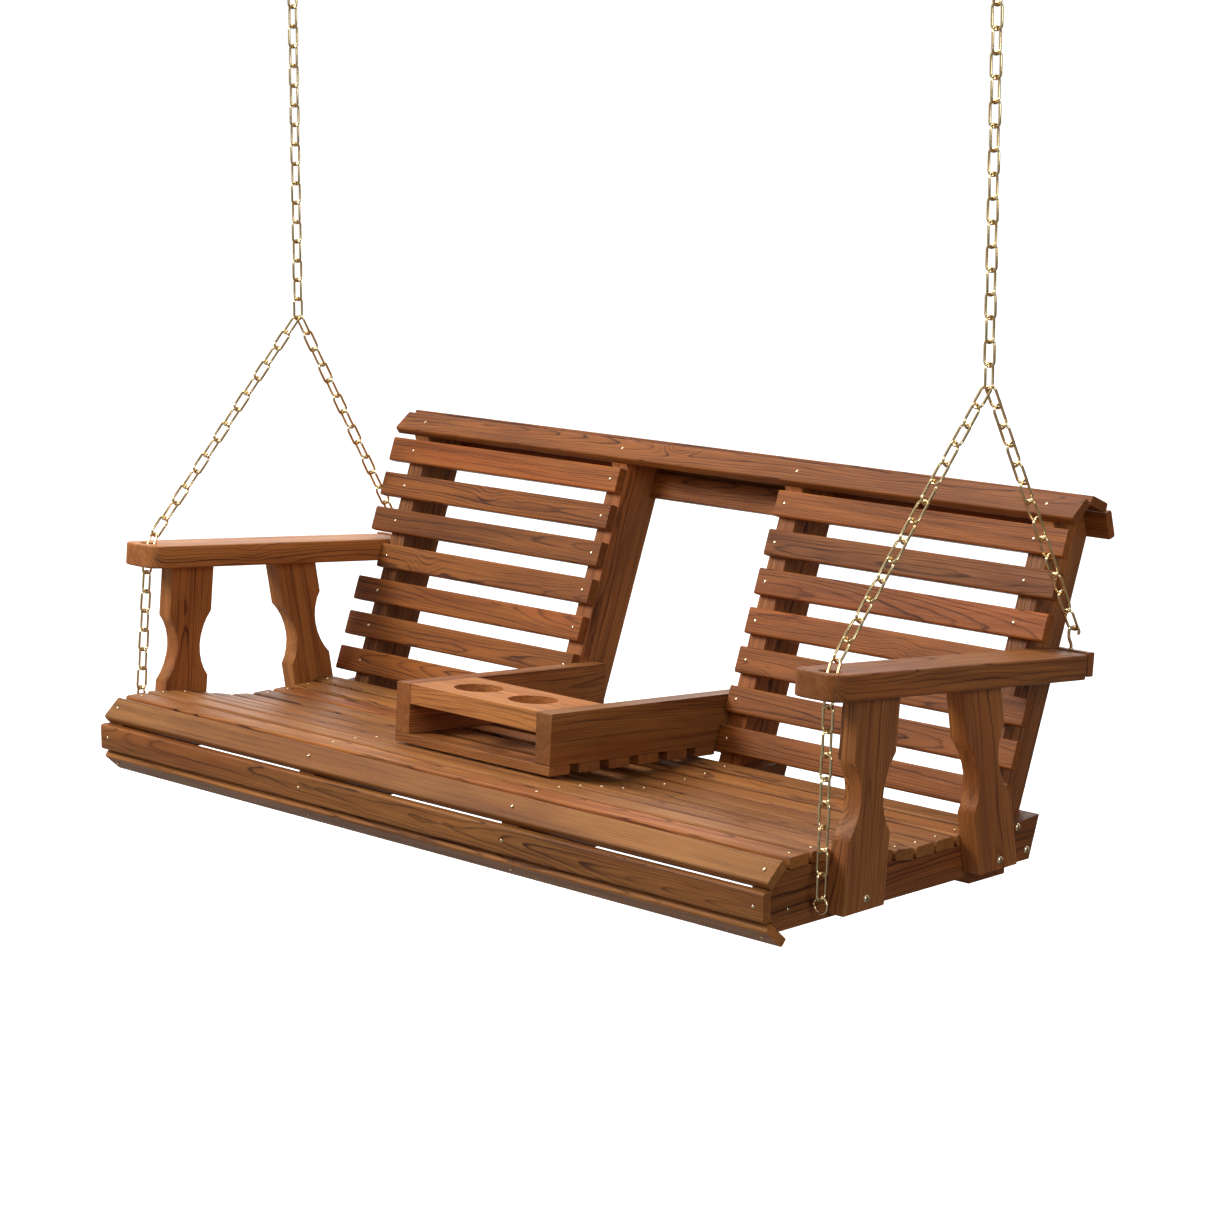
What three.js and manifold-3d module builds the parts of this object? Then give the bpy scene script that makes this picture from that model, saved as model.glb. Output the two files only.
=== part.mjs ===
// Porch swing seat: a slatted two-place bench with a fold-down cup-holder console in the middle,
// hung on brass chains from two ceiling hangers. Millimetres, +Z up, the seat faces -Y.
//
// Everything is laid out from the bench: Y and Z are measured from the nail heads on the front seat
// slat, X from the middle of the bench. The finished parts are then shifted so that the
// origin lies on the ceiling, midway between the two hangers.
import * as THREE from 'three';
import { mergeVertices } from 'three/addons/utils/BufferGeometryUtils.js';
import Module from 'manifold-3d';

// Hanging point
const CEILING_ABOVE_SEAT = 1240;
const HANG_LINE_Y = 390;
const GAP = 0.3; // parts that touch keep this much air between them

// Seat frame
const RAIL_THICK = 37;
const RAIL_OUTER_FACES = [762, 254.7]; // outer and inner pair, distance of the outward face from the middle
const SEAT_SLATS = 10;
const SEAT_SLAT_PITCH = 46.57;
const SEAT_SLAT_WIDTH = 40;
const SEAT_SLAT_THICK = 17;
const SEAT_LENGTH = 1524;
const SLAT_TOP = -1.5; // nail heads stand this far over the slats
const SEAT_DIP = 37.5; // depth of the hollow in the seat
const DIP_START = 20;
const DIP_END = 275;
const REAR_RISE_START = 350;
const REAR_RISE = 0.07;
const SLAT_BEDDING = 0.9; // flat slats on the hollow rail edge
const RAIL_BOTTOM_FRONT = -103.8;
const RAIL_BOTTOM_FALL = 0.0082;
const RAIL_END_Y = 530;
const FRONT_BOARD_WIDTH = 44;
const FRONT_BOARD_THICK = 16;
const UPPER_BOARD_TOP = [-24.2, -13.0]; // upper inner corner of each front board
const MIDDLE_BOARD_TOP = -42.6;
const LOWER_BOARD_TOP = -88.1;
const FRONT_FACE_Y = -58.6; // upright front edge of the rails
const UPPER_BOARD_TILT = 41.8;
const LOWER_BOARD_TILT = 41.6;
const RAIL_NOSE_Y = -30.4; // where the rail's top edge turns down behind the front boards
const RAIL_LOWER_FRONT = -87.4;
const STRETCHER_LENGTH = 1500;
const STRETCHER_WIDTH = 88;
const STRETCHER_Y = 398;
const STRETCHER_THICK = 17;
const SUPPORT_FOOT_Y = 440;

// Back
const RECLINE = 20.23;
const BACK_TOP_SLAT = [598.9, 369.5]; // middle of the top slat's front face
const BACK_SLATS = 7;
const BACK_SLAT_PITCH = 65.84;
const BACK_SLAT_WIDTH = 44;
const BACK_SLAT_THICK = 16;
const BACK_PANEL_INNER = 181.5;
const BACK_PANEL_OUTER = 763.6;
const TOP_BOARD_HALF = 766;
const ARM_LEVEL_SLAT = 3; // this slat stops short, against the armrest
const SUPPORT_THICK = 37;
const SUPPORT_OUTER_FACES = [724.7, 217.4];
const SUPPORT_FRONT = 17;
const SUPPORT_REAR = 100;
// corners under the three boards that wrap the head of the back, from the rear to the front
const HEAD_CORNERS = [[707.6, 363.6], [696.2, 404.6], [656.7, 421.3], [620.6, 394.1]];
const FRONT_TOP_BOARD = [[620.4, 394.3], [656.4, 421.4]];
const CROWN_BOARD = [[657.0, 421.8], [696.6, 405.0]];
const REAR_TOP_BOARD = [[696.8, 404.3], [707.9, 363.6]];
const TOP_BOARD_WIDTHS = [45, 43, 44];
const TOP_BOARD_THICK = 15;
const STOP_BOARD_FRONT = 86.3;
const STOP_BOARD_THICK = 15;
const STOP_BOARD_BOTTOM = -8;
const STOP_BOARD_TOP = 36;

// Armrests and their posts
const ARM_INNER = 725;
const ARM_OUTER = 812;
const ARM_THICK = 39;
const ARM_SLOPE = 5.28;
const ARM_FRONT_Y = 16.5;
const ARM_REAR_Y = 601;
const ARM_LEVEL_AT_100 = 251;
const ARM_CORNER = 28;
const ARM_REAR_CORNER = 8;
const ARM_EDGE = 3; // rounding along the arm's edges
const CHAIN_HOLE_RADIUS = 15.5;
const CHAIN_HOLE_Y = 46.5;
const POST_THICK = 31.5;
const POST_INNER = 762.3;
const POST_BOTTOM = -97;
// front edge at the bottom, lean per unit of height, width, bottoms of the front and rear bites
const FRONT_POST = [57.5, 0.1, 91, 9, 9];
const REAR_POST = [368.2, -0.173, 90.5, -3, 11];
const POST_BITE_DEPTH = 21;
const POST_BITE_LENGTH = 114;
const END_BLOCK_INNER = 748;
const END_BLOCK_OUTER = 811;
const END_BLOCK_THICK = 15;
const END_BLOCK_HEIGHT = 37;
const END_BLOCK_RISE = 2.5; // above the arm's top

// Console
const CONSOLE_HALF = 179;
const CONSOLE_FALL = 4.15;
const CONSOLE_FRONT = [81.0, -3.3]; // lowest front edge of its front slat
const CONSOLE_LENGTH = 449;
const CONSOLE_ARM_THICK = 33;
const CONSOLE_ARM_HEIGHT = 82;
const CONSOLE_SLATS = 7;
const CONSOLE_SLAT_WIDTH = 46;
const CONSOLE_SLAT_PITCH = 66.3;
const CONSOLE_SLAT_THICK = 16;
const CUP_BOARD_LENGTH = 144;
const CUP_BOARD_THICK = 32;
const CUP_HOLE_RADIUS = 40;
const CUP_HOLE_X = 63;
const HINGE_ALONG = 411;
const HINGE_UP = 29.1;
const HINGE_ROD_RADIUS = 4.8;
const HINGE_ROD_LENGTH = 442;
const HINGE_HOLE_RADIUS = 5.6;

// Chains
const CHAIN_X = 774;
const WIRE = 3.9;
const LINK_WIDTH = 21.5;
const LINK_LAP = 0.8; // neighbouring links press into each other by this much
const EYE_CENTRE = [782.5, 22.7, -74.5]; // eye screw in the side of the seat
const EYE_RADIUS = 11.8;
// the front chain bends at both ends of the one link inside the armrest's hole
const HOLE_BEND = [774.5, 44.5, 239];
const HOLE_EXIT = [774, 59.7, 269.4];
const CHAIN_BELOW_ARM = 9; // links
const CHAIN_ABOVE_ARM = 14;
const REAR_CHAIN = 13;
const JUNCTION_Z = 627.5;
const HOOK_TOP = [775.2, 610, 238.8]; // where the lowest rear link bears on the hook
const HOOK_FOOT = [772.5, 608.8];
const HOOK_BOW = 7.6;
const HOOK_WIRE = 5;
const HOOK_LEAN = 3.8; // the neck bends this far forward before the bow
const HOOK_NECK = [5, 19]; // heights over the block where the neck's bend starts and ends
const HOOK_BOW_HEIGHT = 26.2; // centre of the bow over the block
const HOOK_SWEEP = 218; // degrees, from the neck over the top to the tip
const UPPER_LINKS = 17;
const UPPER_PITCH = 34.2;
const HANGER_RING_RADIUS = 11;
const HANGER_WIRE = 5;
const HANGER_CLEARANCE = 0.5; // between the top link and the ring it swings on
const HANGER_PLATE_RADIUS = 32;
const HANGER_PLATE_THICK = 5;
const HANGER_NECK_RADII = [4.5, 6.5];

const wasm = await Module();
wasm.setup();

const swing = new THREE.Group();
swing.name = 'porch_swing_seat';

const radians = (degrees) => THREE.MathUtils.degToRad(degrees);
const point = (pair) => new THREE.Vector2(pair[0], pair[1]);
const direction = (angle) => new THREE.Vector2(Math.cos(angle), Math.sin(angle));
// point reached from start by going a along the direction at this angle and b square to its left
function offset(start, angle, a, b) {
  const along = direction(angle);
  return new THREE.Vector2(
    start.x + along.x * a - along.y * b,
    start.y + along.y * a + along.x * b,
  );
}

// ---------------------------------------------------------------- materials
const WOODS = {
  seat: 0x9a5a32,
  back: 0xa0602f,
  frame: 0x7c4627,
  arm: 0x8a5230,
  console: 0x95562f,
};
function woodMaterial(tone) {
  return new THREE.MeshStandardMaterial({ color: WOODS[tone], roughness: 0.62 });
}
function brassMaterial() {
  return new THREE.MeshStandardMaterial({ color: 0xd9b36a, metalness: 1, roughness: 0.3 });
}

// ---------------------------------------------------------------- solid helpers
function toManifold(geometry) {
  const bare = geometry.clone();
  bare.deleteAttribute('normal');
  bare.deleteAttribute('uv');
  const welded = mergeVertices(bare, 1e-4);
  return new wasm.Manifold(new wasm.Mesh({
    numProp: 3,
    vertProperties: new Float32Array(welded.attributes.position.array),
    triVerts: new Uint32Array(welded.index.array),
  }));
}

function toGeometry(manifold) {
  const mesh = manifold.getMesh();
  const geometry = new THREE.BufferGeometry();
  geometry.setAttribute('position', new THREE.BufferAttribute(new Float32Array(mesh.vertProperties), 3));
  geometry.setIndex(new THREE.BufferAttribute(new Uint32Array(mesh.triVerts), 1));
  return geometry;
}

function fuse(geometries) {
  return toGeometry(geometries.map(toManifold).reduce((whole, piece) => whole.add(piece)));
}

function place(name, geometry, material) {
  geometry.translate(0, -HANG_LINE_Y, -CEILING_ABOVE_SEAT);
  geometry.computeVertexNormals();
  const mesh = new THREE.Mesh(geometry, material);
  mesh.name = name;
  swing.add(mesh);
}

// the same solid on the other side of the bench
function mirrored(geometry) {
  const copy = geometry.clone();
  copy.scale(-1, 1, 1);
  const position = copy.attributes.position;
  const index = copy.index ? Array.from(copy.index.array) : [...Array(position.count).keys()];
  for (let i = 0; i < index.length; i += 3) {
    [index[i + 1], index[i + 2]] = [index[i + 2], index[i + 1]];
  }
  copy.setIndex(index);
  return copy;
}

// a side-view (Y, Z) shape made solid from one X to another
function acrossX(shape, fromX, toX, curveSegments = 4) {
  const geometry = new THREE.ExtrudeGeometry(shape, {
    depth: toX - fromX, bevelEnabled: false, curveSegments,
  });
  const axes = new THREE.Matrix4().makeBasis(
    new THREE.Vector3(0, 1, 0), new THREE.Vector3(0, 0, 1), new THREE.Vector3(1, 0, 0),
  );
  geometry.applyMatrix4(axes);
  geometry.translate(fromX, 0, 0);
  return geometry;
}

// closed outline through the corners, each corner rounded by its own radius
function roundedShape(corners, radii) {
  const shape = new THREE.Shape();
  corners.forEach((corner, i) => {
    const before = corners[(i + corners.length - 1) % corners.length];
    const after = corners[(i + 1) % corners.length];
    const radius = Array.isArray(radii) ? radii[i] : radii;
    const start = corner.clone().lerp(before, radius / corner.distanceTo(before));
    const end = corner.clone().lerp(after, radius / corner.distanceTo(after));
    if (i === 0) {
      shape.moveTo(start.x, start.y);
    } else {
      shape.lineTo(start.x, start.y);
    }
    if (radius > 0) {
      shape.quadraticCurveTo(corner.x, corner.y, end.x, end.y);
    }
  });
  shape.closePath();
  return shape;
}

// end view of a board: start is the corner it grows from, width along the angle, thickness to the left
function boardShape(start, angle, width, thick, radii) {
  return roundedShape([
    offset(start, angle, 0, 0),
    offset(start, angle, width, 0),
    offset(start, angle, width, thick),
    offset(start, angle, 0, thick),
  ], radii);
}

function circleHole(centre, radius) {
  const hole = new THREE.Path();
  hole.absarc(centre.x, centre.y, radius, 0, Math.PI * 2, true);
  return hole;
}

// ---------------------------------------------------------------- seat
// height of the seat surface at depth y: level nose, a half-cosine hollow, a slight rise at the rear
function seatHeight(y) {
  if (y < DIP_START) {
    return SLAT_TOP;
  }
  const along = Math.min((y - DIP_START) / (DIP_END - DIP_START), 1);
  const hollow = -SEAT_DIP * (1 - Math.cos(Math.PI * along)) / 2;
  return SLAT_TOP + hollow + Math.max(y - REAR_RISE_START, 0) * REAR_RISE;
}
const seatAngle = (y) => Math.atan((seatHeight(y + 0.5) - seatHeight(y - 0.5)));
const railBottom = (y) => RAIL_BOTTOM_FRONT - RAIL_BOTTOM_FALL * (y + 33);
const recline = radians(RECLINE);
const backTop = point(BACK_TOP_SLAT);
// position behind the slats' front face and above the top slat's middle, along the reclined back
function onBack(depth, up) {
  return offset(backTop, -recline, depth, up);
}

function railShape() {
  const drop = SEAT_SLAT_THICK + SLAT_BEDDING;
  const slantDrop = (RAIL_NOSE_Y - FRONT_FACE_Y) * Math.tan(radians(UPPER_BOARD_TILT));
  const lowerRun = (RAIL_LOWER_FRONT - railBottom(FRONT_FACE_Y)) / Math.tan(radians(LOWER_BOARD_TILT));
  const bottomFront = FRONT_FACE_Y + lowerRun;
  const rearHeight = seatHeight(RAIL_END_Y) - drop - railBottom(RAIL_END_Y);
  const rearTopY = RAIL_END_Y + rearHeight * Math.tan(recline);
  const shape = new THREE.Shape();
  shape.moveTo(RAIL_NOSE_Y, SLAT_TOP - drop);
  shape.lineTo(FRONT_FACE_Y, SLAT_TOP - drop - slantDrop);
  shape.lineTo(FRONT_FACE_Y, RAIL_LOWER_FRONT);
  shape.lineTo(bottomFront, railBottom(bottomFront));
  shape.lineTo(RAIL_END_Y, railBottom(RAIL_END_Y));
  shape.lineTo(rearTopY, seatHeight(rearTopY) - drop);
  shape.lineTo(REAR_RISE_START, seatHeight(REAR_RISE_START) - drop);
  const hollowSteps = 15;
  for (let i = 0; i <= hollowSteps; i += 1) {
    const y = DIP_END + (DIP_START - DIP_END) * i / hollowSteps;
    const tilt = seatAngle(y);
    shape.lineTo(y + drop * Math.sin(tilt), seatHeight(y) - drop * Math.cos(tilt));
  }
  shape.closePath();
  return shape;
}

function addRails() {
  const shape = railShape();
  RAIL_OUTER_FACES.forEach((face, i) => {
    const where = i === 0 ? 'outer' : 'inner';
    const right = acrossX(shape, face - RAIL_THICK, face);
    place(`right_${where}_seat_rail`, right.clone(), woodMaterial('frame'));
    place(`left_${where}_seat_rail`, mirrored(right), woodMaterial('frame'));
  });
}

function addSeatSlats() {
  for (let i = 0; i < SEAT_SLATS; i += 1) {
    const y = i * SEAT_SLAT_PITCH;
    const tilt = seatAngle(y);
    const corner = offset(point([y, seatHeight(y)]), tilt, -SEAT_SLAT_WIDTH / 2, -SEAT_SLAT_THICK);
    const shape = boardShape(corner, tilt, SEAT_SLAT_WIDTH, SEAT_SLAT_THICK, [2, 2, 5, 5]);
    const slat = acrossX(shape, -SEAT_LENGTH / 2, SEAT_LENGTH / 2, 3);
    place(`seat_slat_${i + 1}`, slat, woodMaterial('seat'));
  }
}

function addFrontBoards() {
  const half = SEAT_LENGTH / 2;
  const slant = radians(UPPER_BOARD_TILT);
  const lower = radians(LOWER_BOARD_TILT);
  const boards = [
    ['upper_front_board', UPPER_BOARD_TOP, Math.PI + slant, FRONT_BOARD_THICK],
    ['middle_front_board', [FRONT_FACE_Y - GAP, MIDDLE_BOARD_TOP], -Math.PI / 2, FRONT_BOARD_THICK],
    ['lower_front_board', [FRONT_FACE_Y - GAP, LOWER_BOARD_TOP], -lower, FRONT_BOARD_THICK - 1],
  ];
  boards.forEach(([name, start, angle, thick]) => {
    const shape = boardShape(point(start), angle, FRONT_BOARD_WIDTH, -thick, [2, 2, 5, 5]);
    place(name, acrossX(shape, -half, half, 3), woodMaterial('seat'));
  });
}

function addStretcher() {
  const fall = -Math.atan(RAIL_BOTTOM_FALL);
  const top = point([STRETCHER_Y, railBottom(STRETCHER_Y) - GAP]);
  const shape = boardShape(top, fall, STRETCHER_WIDTH, -STRETCHER_THICK, 2);
  const stretcher = acrossX(shape, -STRETCHER_LENGTH / 2, STRETCHER_LENGTH / 2, 2);
  place('under_seat_stretcher', stretcher, woodMaterial('frame'));
}

// ---------------------------------------------------------------- back
const consoleAngle = -radians(CONSOLE_FALL);
const consolePoint = (along, up) => offset(point(CONSOLE_FRONT), consoleAngle, along, up);
const hinge = consolePoint(HINGE_ALONG, HINGE_UP);

function supportShape(withHole) {
  const cut = railBottom(SUPPORT_FOOT_Y);
  const upTo = (depth) => (cut - onBack(depth, 0).y) / Math.cos(recline);
  const shape = new THREE.Shape();
  const head = [
    onBack(SUPPORT_FRONT, upTo(SUPPORT_FRONT)),
    onBack(SUPPORT_REAR, upTo(SUPPORT_REAR)),
    ...HEAD_CORNERS.map(point),
    onBack(SUPPORT_FRONT, BACK_SLAT_WIDTH / 2 + 2),
  ];
  shape.setFromPoints(head);
  shape.closePath();
  if (withHole) {
    shape.holes.push(circleHole(hinge, HINGE_HOLE_RADIUS));
  }
  return shape;
}

function addSupports() {
  SUPPORT_OUTER_FACES.forEach((face, i) => {
    const where = i === 0 ? 'outer' : 'inner';
    const right = acrossX(supportShape(i === 1), face - SUPPORT_THICK, face, 6);
    place(`right_${where}_back_support`, right.clone(), woodMaterial('frame'));
    place(`left_${where}_back_support`, mirrored(right), woodMaterial('frame'));
  });
}

function addBackSlats() {
  for (let i = 0; i < BACK_SLATS; i += 1) {
    const up = -BACK_SLAT_PITCH * i;
    const corner = onBack(BACK_SLAT_THICK, up - BACK_SLAT_WIDTH / 2);
    const shape = boardShape(
      corner, Math.PI / 2 - recline, BACK_SLAT_WIDTH, BACK_SLAT_THICK, [1.5, 1.5, 4, 4],
    );
    const outer = i === ARM_LEVEL_SLAT ? ARM_INNER - GAP : BACK_PANEL_OUTER;
    const right = acrossX(shape, BACK_PANEL_INNER, outer, 3);
    place(`right_back_slat_${i + 1}`, right.clone(), woodMaterial('back'));
    place(`left_back_slat_${i + 1}`, mirrored(right), woodMaterial('back'));
  }
}

// three boards wrap the rounded heads of the supports
function addTopBoards() {
  const boards = [
    ['front_top_board', FRONT_TOP_BOARD],
    ['crown_board', CROWN_BOARD],
    ['rear_top_board', REAR_TOP_BOARD],
  ];
  boards.forEach(([name, [from, to]], i) => {
    const start = point(from);
    const angle = point(to).sub(start).angle();
    const shape = boardShape(start, angle, TOP_BOARD_WIDTHS[i], TOP_BOARD_THICK, [1.5, 1.5, 4, 4]);
    place(name, acrossX(shape, -TOP_BOARD_HALF, TOP_BOARD_HALF, 3), woodMaterial('back'));
  });
}

function addStopBoard() {
  const corner = onBack(STOP_BOARD_FRONT + STOP_BOARD_THICK, STOP_BOARD_BOTTOM);
  const height = STOP_BOARD_TOP - STOP_BOARD_BOTTOM;
  const shape = boardShape(corner, Math.PI / 2 - recline, height, STOP_BOARD_THICK, 2);
  const half = SUPPORT_OUTER_FACES[1] - SUPPORT_THICK - GAP;
  place('console_stop_board', acrossX(shape, -half, half, 2), woodMaterial('back'));
}

// ---------------------------------------------------------------- armrests
const armTilt = -radians(ARM_SLOPE);
const armTop = (y) => ARM_LEVEL_AT_100 + (y - 100) * Math.tan(armTilt);
const armUnderside = (y) => armTop(y) - ARM_THICK / Math.cos(armTilt);

function addArmrests() {
  const length = (ARM_REAR_Y - ARM_FRONT_Y) / Math.cos(armTilt);
  const plan = roundedShape([
    point([ARM_INNER, 0]),
    point([ARM_OUTER, 0]),
    point([ARM_OUTER, length]),
    point([ARM_INNER, length]),
  ], [ARM_CORNER, ARM_CORNER, ARM_REAR_CORNER, ARM_REAR_CORNER]);
  const holeAlong = (CHAIN_HOLE_Y - ARM_FRONT_Y) / Math.cos(armTilt);
  plan.holes.push(circleHole(point([CHAIN_X, holeAlong]), CHAIN_HOLE_RADIUS));
  const right = new THREE.ExtrudeGeometry(plan, {
    depth: ARM_THICK - 2 * ARM_EDGE,
    curveSegments: 6,
    bevelEnabled: true,
    bevelSegments: 2,
    bevelThickness: ARM_EDGE,
    bevelSize: ARM_EDGE,
    bevelOffset: -ARM_EDGE,
  });
  right.translate(0, 0, ARM_EDGE - ARM_THICK);
  right.rotateX(armTilt);
  right.translate(0, ARM_FRONT_Y, armTop(ARM_FRONT_Y));
  place('right_armrest', right.clone(), woodMaterial('arm'));
  place('left_armrest', mirrored(right), woodMaterial('arm'));
}

// a leaning board with a shallow round bite out of its front and its rear edge
function postShape([frontAtBottom, lean, width, frontBite, rearBite]) {
  const frontY = (z) => frontAtBottom + (z - POST_BOTTOM) * lean;
  const rearY = (z) => frontY(z) + width;
  // where the leaning edge meets the underside of the armrest
  const topOf = (edgeY) => {
    let z = armUnderside(edgeY(200)) - GAP;
    z = armUnderside(edgeY(z)) - GAP;
    return new THREE.Vector2(edgeY(z), z);
  };
  const shape = new THREE.Shape();
  shape.moveTo(frontAtBottom, POST_BOTTOM);
  shape.lineTo(rearY(POST_BOTTOM), POST_BOTTOM);
  addBite(shape, rearY, rearBite, -1);
  const rearTop = topOf(rearY);
  const frontTop = topOf(frontY);
  shape.lineTo(rearTop.x, rearTop.y);
  shape.lineTo(frontTop.x, frontTop.y);
  addBite(shape, frontY, frontBite, 1);
  shape.closePath();
  return shape;
}

// adds the points of one bite: going up the rear edge (side -1) or down the front edge (side 1)
function addBite(shape, edgeY, fromZ, side) {
  const steps = 8;
  const halfChord = POST_BITE_LENGTH / 2;
  const radius = (halfChord ** 2 + POST_BITE_DEPTH ** 2) / (2 * POST_BITE_DEPTH);
  const sweep = Math.asin(halfChord / radius);
  for (let i = 0; i <= steps; i += 1) {
    const turn = sweep * (2 * i / steps - 1);
    const z = fromZ + halfChord - side * radius * Math.sin(turn);
    const bite = radius * Math.cos(turn) - (radius - POST_BITE_DEPTH);
    shape.lineTo(edgeY(z) + side * bite, z);
  }
}

function addPosts() {
  const posts = [['front_arm_post', FRONT_POST], ['rear_arm_post', REAR_POST]];
  posts.forEach(([name, measures]) => {
    const right = acrossX(postShape(measures), POST_INNER, POST_INNER + POST_THICK);
    place(`right_${name}`, right.clone(), woodMaterial('arm'));
    place(`left_${name}`, mirrored(right), woodMaterial('arm'));
  });
}

function addEndBlocks() {
  const armEnd = point([ARM_REAR_Y, armTop(ARM_REAR_Y)]);
  const start = offset(armEnd, armTilt, GAP, END_BLOCK_RISE - END_BLOCK_HEIGHT);
  const shape = boardShape(start, armTilt, END_BLOCK_THICK, END_BLOCK_HEIGHT, 1.5);
  const right = acrossX(shape, END_BLOCK_INNER, END_BLOCK_OUTER, 2);
  place('right_arm_end_block', right.clone(), woodMaterial('arm'));
  place('left_arm_end_block', mirrored(right), woodMaterial('arm'));
}

// ---------------------------------------------------------------- console
function consoleArm(fromX, toX) {
  const shape = roundedShape([
    consolePoint(0, CONSOLE_SLAT_THICK),
    consolePoint(CONSOLE_LENGTH, CONSOLE_SLAT_THICK),
    consolePoint(CONSOLE_LENGTH, CONSOLE_SLAT_THICK + CONSOLE_ARM_HEIGHT),
    consolePoint(0, CONSOLE_SLAT_THICK + CONSOLE_ARM_HEIGHT),
  ], 3);
  shape.holes.push(circleHole(hinge, HINGE_HOLE_RADIUS));
  return acrossX(shape, fromX, toX, 6);
}

function addConsole() {
  const innerFace = CONSOLE_HALF - CONSOLE_ARM_THICK;
  const lift = offset(new THREE.Vector2(0, 0), consoleAngle, 0, GAP);
  const right = consoleArm(innerFace, CONSOLE_HALF);
  right.translate(0, lift.x, lift.y);
  place('console_right_arm', right, woodMaterial('console'));
  // the slats are screwed to the left arm; here they and that arm are one solid
  const left = consoleArm(-CONSOLE_HALF, -innerFace);
  left.translate(0, -lift.x, -lift.y);
  const joined = [left];
  for (let i = 0; i < CONSOLE_SLATS; i += 1) {
    const corner = consolePoint(i * CONSOLE_SLAT_PITCH, 0);
    const shape = boardShape(
      corner, consoleAngle, CONSOLE_SLAT_WIDTH, CONSOLE_SLAT_THICK, [5, 5, 1.5, 1.5],
    );
    joined.push(acrossX(shape, -CONSOLE_HALF, CONSOLE_HALF, 3));
  }
  place('console_left_arm_and_slats', fuse(joined), woodMaterial('console'));
  addCupBoard(innerFace - GAP);
}

function addCupBoard(half) {
  const plan = roundedShape([
    point([-half, 0]),
    point([half, 0]),
    point([half, CUP_BOARD_LENGTH]),
    point([-half, CUP_BOARD_LENGTH]),
  ], 1.5);
  [-1, 1].forEach((side) => {
    plan.holes.push(circleHole(point([side * CUP_HOLE_X, CUP_BOARD_LENGTH / 2]), CUP_HOLE_RADIUS));
  });
  const board = new THREE.ExtrudeGeometry(plan, {
    depth: CUP_BOARD_THICK, bevelEnabled: false, curveSegments: 12,
  });
  board.rotateX(consoleAngle);
  const start = consolePoint(0, CONSOLE_SLAT_THICK + CONSOLE_ARM_HEIGHT - CUP_BOARD_THICK);
  board.translate(0, start.x, start.y);
  place('cup_holder_board', board, woodMaterial('console'));
}

function addHingeRod() {
  const rod = new THREE.CylinderGeometry(HINGE_ROD_RADIUS, HINGE_ROD_RADIUS, HINGE_ROD_LENGTH, 12);
  rod.rotateZ(Math.PI / 2);
  rod.translate(0, hinge.x, hinge.y);
  place('console_hinge_rod', rod, brassMaterial());
}

// ---------------------------------------------------------------- chains
// outline of a link: straight sides and ends cut to half octagons
function linkOutline(path, halfWidth, halfLength) {
  const flat = halfWidth * Math.tan(Math.PI / 8);
  const shoulder = halfLength - halfWidth + flat;
  path.moveTo(halfWidth, -shoulder);
  path.lineTo(halfWidth, shoulder);
  path.lineTo(flat, halfLength);
  path.lineTo(-flat, halfLength);
  path.lineTo(-halfWidth, shoulder);
  path.lineTo(-halfWidth, -shoulder);
  path.lineTo(-flat, -halfLength);
  path.lineTo(flat, -halfLength);
  path.closePath();
  return path;
}

// one link centred on a point, in the plane of its width direction and the direction of the run
function link(centre, run, width, pitch) {
  const inner = (pitch - LINK_LAP) / 2;
  const shape = linkOutline(new THREE.Shape(), LINK_WIDTH / 2, inner + WIRE);
  shape.holes.push(linkOutline(new THREE.Path(), LINK_WIDTH / 2 - WIRE, inner));
  const solid = new THREE.ExtrudeGeometry(shape, { depth: WIRE, bevelEnabled: false });
  solid.translate(0, 0, -WIRE / 2);
  const normal = new THREE.Vector3().crossVectors(width, run);
  solid.applyMatrix4(new THREE.Matrix4().makeBasis(width, run, normal));
  solid.translate(centre.x, centre.y, centre.z);
  return solid;
}

const ACROSS = new THREE.Vector3(1, 0, 0);

// bearing point of a run whose last cross wire is to be centred on the given point
function bearingBefore(from, wireCentre) {
  const run = wireCentre.clone().sub(from).normalize();
  return wireCentre.clone().addScaledVector(run, (LINK_LAP - WIRE) / 2);
}

// links from one bearing point to the next, the first one with its width across the bench if asked
function chainRun(from, to, count, acrossFirst) {
  const run = to.clone().sub(from).normalize();
  const pitch = from.distanceTo(to) / count;
  const inPlane = new THREE.Vector3().crossVectors(run, ACROSS).normalize();
  const sideways = new THREE.Vector3().crossVectors(inPlane, run);
  const links = [];
  for (let i = 0; i < count; i += 1) {
    const centre = from.clone().addScaledVector(run, pitch * (i + 0.5));
    const across = (i % 2 === 0) === acrossFirst;
    links.push(link(centre, run, across ? sideways : inPlane, pitch));
  }
  return links;
}

const at = (y, z) => new THREE.Vector3(CHAIN_X, y, z);

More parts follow.
